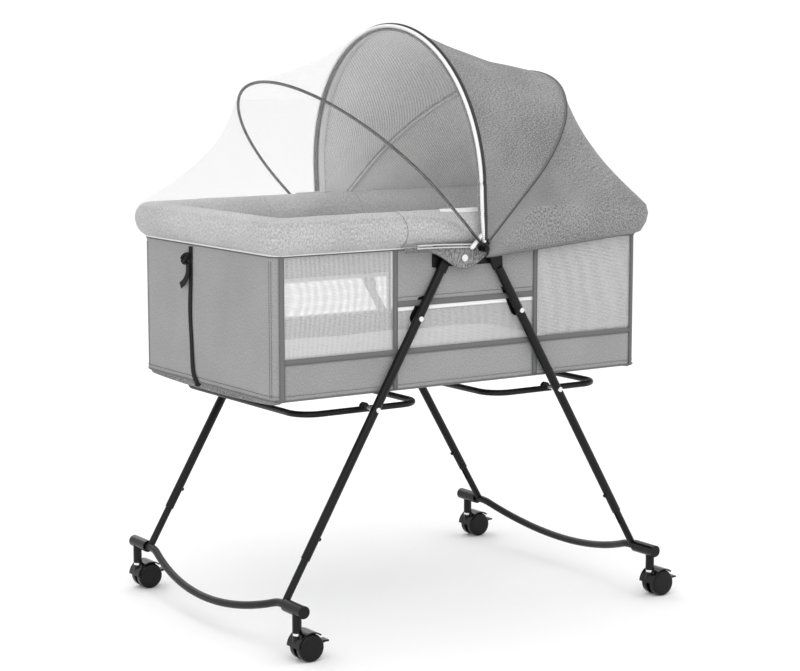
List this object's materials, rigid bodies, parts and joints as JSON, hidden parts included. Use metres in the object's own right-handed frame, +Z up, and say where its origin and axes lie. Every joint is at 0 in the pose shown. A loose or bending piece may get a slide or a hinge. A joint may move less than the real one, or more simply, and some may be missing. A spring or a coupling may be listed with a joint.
{
  "type": "bassinet on stand",
  "caption": "Fabric bassinet with mesh windows, padded rim, fan-fold canopy and mosquito net, on a folding tubular stand with rocker bars and flip-up casters.",
  "frame": {"origin": "on the floor under the centre of the stand", "axes": "+X along the basket towards the canopy tail, +Y to the back, +Z up"},
  "size_m": [0.8669, 0.621, 1.0556],
  "materials": {
    "steel_black": "semi-gloss black powder coat",
    "plastic_black": "glossy moulded black plastic",
    "steel_bright": "bright plated steel",
    "rim_fabric": "light grey melange woven cloth over padding",
    "wall_fabric": "mid grey melange woven cloth",
    "canopy_fabric": "mid grey melange woven cloth",
    "mesh": "fine pale knitted mesh",
    "net": "sheer white mosquito netting",
    "mattress_fabric": "soft light quilted cover",
    "webbing": "black woven webbing"
  },
  "bodies": {
    "basket": {"hub_plates": "steel_black", "hub_pins": "steel_black", "rim_tubes": "steel_black", "rim_cover": "rim_fabric", "hub_flaps": "wall_fabric", "flap_studs": "steel_bright", "basket_walls": "wall_fabric", "mesh_windows": "mesh", "floor_panel": "wall_fabric", "tie_strap": "webbing", "canopy_tail": "canopy_fabric"},
    "mattress": {"mattress": "mattress_fabric"},
    "rear_hoop": {"rear_hoop": "steel_black", "canopy_cover": "canopy_fabric"},
    "front_hoop": {"front_hoop": "steel_black", "net_upper": "net"},
    "net_hoop": {"net_hoop": "steel_black", "net_lower": "net"},
    "left_legs": {"leg_lf": "steel_black", "leg_lb": "steel_black", "left_braces": "steel_black", "left_rivets": "steel_bright"},
    "right_legs": {"leg_rf": "steel_black", "leg_rb": "steel_black", "right_braces": "steel_black", "right_rivets": "steel_bright"},
    "left_floor_loop": {"left_floor_loop": "steel_black"},
    "right_floor_loop": {"right_floor_loop": "steel_black"},
    "left_lower_frame": {"left_slider_tubes": "steel_black", "left_rocker_bar": "steel_black"},
    "right_lower_frame": {"right_slider_tubes": "steel_black", "right_rocker_bar": "steel_black"},
    "button_lf": {"button_lf": "plastic_black"},
    "bracket_lf": {"bracket_lf": "plastic_black"},
    "caster_lf": {"hood_lf": "plastic_black", "pins_lf": "steel_bright"},
    "brake_lf": {"brake_lf": "plastic_black"},
    "wheel_lf_outer": {"wheel_lf_outer": "plastic_black"},
    "wheel_lf_inner": {"wheel_lf_inner": "plastic_black"},
    "button_lb": {"button_lb": "plastic_black"},
    "bracket_lb": {"bracket_lb": "plastic_black"},
    "caster_lb": {"hood_lb": "plastic_black", "pins_lb": "steel_bright"},
    "brake_lb": {"brake_lb": "plastic_black"},
    "wheel_lb_outer": {"wheel_lb_outer": "plastic_black"},
    "wheel_lb_inner": {"wheel_lb_inner": "plastic_black"},
    "button_rf": {"button_rf": "plastic_black"},
    "bracket_rf": {"bracket_rf": "plastic_black"},
    "caster_rf": {"hood_rf": "plastic_black", "pins_rf": "steel_bright"},
    "brake_rf": {"brake_rf": "plastic_black"},
    "wheel_rf_outer": {"wheel_rf_outer": "plastic_black"},
    "wheel_rf_inner": {"wheel_rf_inner": "plastic_black"},
    "button_rb": {"button_rb": "plastic_black"},
    "bracket_rb": {"bracket_rb": "plastic_black"},
    "caster_rb": {"hood_rb": "plastic_black", "pins_rb": "steel_bright"},
    "brake_rb": {"brake_rb": "plastic_black"},
    "wheel_rb_outer": {"wheel_rb_outer": "plastic_black"},
    "wheel_rb_inner": {"wheel_rb_inner": "plastic_black"}
  },
  "joints": [
    {"name": "mattress_lift", "type": "slide", "parent": "basket", "child": "mattress", "axis": [0, 0, 1], "range_m": [0, 0.15]},
    {"name": "canopy_rear_fold", "type": "hinge", "parent": "basket", "child": "rear_hoop", "pos_m": [0.011, 0, 0.671], "axis": [0, 1, 0], "range_deg": [0, 22], "deforming": ["canopy_tail", "canopy_cover"]},
    {"name": "canopy_front_fold", "type": "hinge", "parent": "rear_hoop", "child": "front_hoop", "pos_m": [0.011, 0, 0.671], "axis": [0, 1, 0], "range_deg": [0, 42], "deforming": ["net_upper"]},
    {"name": "net_fold", "type": "hinge", "parent": "front_hoop", "child": "net_hoop", "pos_m": [0.011, 0, 0.671], "axis": [0, 1, 0], "range_deg": [0, 36], "deforming": ["net_lower"]},
    {"name": "left_leg_fold", "type": "hinge", "parent": "basket", "child": "left_legs", "pos_m": [-0.04751, 0, 0.65812], "axis": [0, -1, 0], "range_deg": [0, 27], "deforming": ["floor_panel", "mattress"]},
    {"name": "left_floor_loop_turn", "type": "hinge", "parent": "left_legs", "child": "left_floor_loop", "pos_m": [-0.1973, 0, 0.40282], "axis": [0, -1, 0], "range_deg": [0, 63]},
    {"name": "left_height", "type": "slide", "parent": "left_legs", "child": "left_lower_frame", "axis": [0.506, 0, 0.8625], "range_m": [0, 0.06]},
    {"name": "right_leg_fold", "type": "hinge", "parent": "basket", "child": "right_legs", "pos_m": [0.04751, 0, 0.65812], "axis": [0, 1, 0], "range_deg": [0, 27]},
    {"name": "right_floor_loop_turn", "type": "hinge", "parent": "right_legs", "child": "right_floor_loop", "pos_m": [0.1973, 0, 0.40282], "axis": [0, 1, 0], "range_deg": [0, 63]},
    {"name": "right_height", "type": "slide", "parent": "right_legs", "child": "right_lower_frame", "axis": [-0.506, 0, 0.8625], "range_m": [0, 0.06]},
    {"name": "button_lf_press", "type": "slide", "parent": "left_legs", "child": "button_lf", "axis": [-0.8625, 0, 0.506], "range_m": [0, 0.0022], "stiffness_N_per_m": 800, "springref_m": -0.002},
    {"name": "bracket_lf_flip", "type": "hinge", "parent": "left_lower_frame", "child": "bracket_lf", "pos_m": [-0.382, -0.281, 0.088], "axis": [0, 1, 0], "range_deg": [0, 110]},
    {"name": "caster_lf_swivel", "type": "hinge", "parent": "bracket_lf", "child": "caster_lf", "pos_m": [-0.385, -0.2915, 0.05], "axis": [0, 0, 1], "continuous": true},
    {"name": "wheel_lf_outer_roll", "type": "hinge", "parent": "caster_lf", "child": "wheel_lf_outer", "pos_m": [-0.366, -0.2915, 0.024], "axis": [0, 1, 0], "continuous": true},
    {"name": "wheel_lf_inner_roll", "type": "hinge", "parent": "caster_lf", "child": "wheel_lf_inner", "pos_m": [-0.366, -0.2915, 0.024], "axis": [0, 1, 0], "continuous": true},
    {"name": "brake_lf_press", "type": "hinge", "parent": "caster_lf", "child": "brake_lf", "pos_m": [-0.337, -0.2915, 0.03], "axis": [0, 1, 0], "range_deg": [0, 15]},
    {"name": "button_lb_press", "type": "slide", "parent": "left_legs", "child": "button_lb", "axis": [-0.8625, 0, 0.506], "range_m": [0, 0.0022], "stiffness_N_per_m": 800, "springref_m": -0.002},
    {"name": "bracket_lb_flip", "type": "hinge", "parent": "left_lower_frame", "child": "bracket_lb", "pos_m": [-0.382, 0.281, 0.088], "axis": [0, 1, 0], "range_deg": [0, 110]},
    {"name": "caster_lb_swivel", "type": "hinge", "parent": "bracket_lb", "child": "caster_lb", "pos_m": [-0.385, 0.2915, 0.05], "axis": [0, 0, 1], "continuous": true},
    {"name": "wheel_lb_outer_roll", "type": "hinge", "parent": "caster_lb", "child": "wheel_lb_outer", "pos_m": [-0.366, 0.2915, 0.024], "axis": [0, 1, 0], "continuous": true},
    {"name": "wheel_lb_inner_roll", "type": "hinge", "parent": "caster_lb", "child": "wheel_lb_inner", "pos_m": [-0.366, 0.2915, 0.024], "axis": [0, 1, 0], "continuous": true},
    {"name": "brake_lb_press", "type": "hinge", "parent": "caster_lb", "child": "brake_lb", "pos_m": [-0.337, 0.2915, 0.03], "axis": [0, 1, 0], "range_deg": [0, 15]},
    {"name": "button_rf_press", "type": "slide", "parent": "right_legs", "child": "button_rf", "axis": [0.8625, 0, 0.506], "range_m": [0, 0.0022], "stiffness_N_per_m": 800, "springref_m": -0.002},
    {"name": "bracket_rf_flip", "type": "hinge", "parent": "right_lower_frame", "child": "bracket_rf", "pos_m": [0.382, -0.281, 0.088], "axis": [0, -1, 0], "range_deg": [0, 110]},
    {"name": "caster_rf_swivel", "type": "hinge", "parent": "bracket_rf", "child": "caster_rf", "pos_m": [0.385, -0.2915, 0.05], "axis": [0, 0, 1], "continuous": true},
    {"name": "wheel_rf_outer_roll", "type": "hinge", "parent": "caster_rf", "child": "wheel_rf_outer", "pos_m": [0.404, -0.2915, 0.024], "axis": [0, 1, 0], "continuous": true},
    {"name": "wheel_rf_inner_roll", "type": "hinge", "parent": "caster_rf", "child": "wheel_rf_inner", "pos_m": [0.404, -0.2915, 0.024], "axis": [0, 1, 0], "continuous": true},
    {"name": "brake_rf_press", "type": "hinge", "parent": "caster_rf", "child": "brake_rf", "pos_m": [0.433, -0.2915, 0.03], "axis": [0, 1, 0], "range_deg": [0, 15]},
    {"name": "button_rb_press", "type": "slide", "parent": "right_legs", "child": "button_rb", "axis": [0.8625, 0, 0.506], "range_m": [0, 0.0022], "stiffness_N_per_m": 800, "springref_m": -0.002},
    {"name": "bracket_rb_flip", "type": "hinge", "parent": "right_lower_frame", "child": "bracket_rb", "pos_m": [0.382, 0.281, 0.088], "axis": [0, -1, 0], "range_deg": [0, 110]},
    {"name": "caster_rb_swivel", "type": "hinge", "parent": "bracket_rb", "child": "caster_rb", "pos_m": [0.385, 0.2915, 0.05], "axis": [0, 0, 1], "continuous": true},
    {"name": "wheel_rb_outer_roll", "type": "hinge", "parent": "caster_rb", "child": "wheel_rb_outer", "pos_m": [0.404, 0.2915, 0.024], "axis": [0, 1, 0], "continuous": true},
    {"name": "wheel_rb_inner_roll", "type": "hinge", "parent": "caster_rb", "child": "wheel_rb_inner", "pos_m": [0.404, 0.2915, 0.024], "axis": [0, 1, 0], "continuous": true},
    {"name": "brake_rb_press", "type": "hinge", "parent": "caster_rb", "child": "brake_rb", "pos_m": [0.433, 0.2915, 0.03], "axis": [0, 1, 0], "range_deg": [0, 15]}
  ],
  "couplings": [
    {"joint": "canopy_front_fold", "follows": "canopy_rear_fold", "ratio": 1.909},
    {"joint": "net_fold", "follows": "canopy_rear_fold", "ratio": 1.6363},
    {"joint": "right_leg_fold", "follows": "left_leg_fold", "ratio": 1},
    {"joint": "left_floor_loop_turn", "follows": "left_leg_fold", "ratio": 2.3333},
    {"joint": "right_floor_loop_turn", "follows": "left_leg_fold", "ratio": 2.3333}
  ]
}
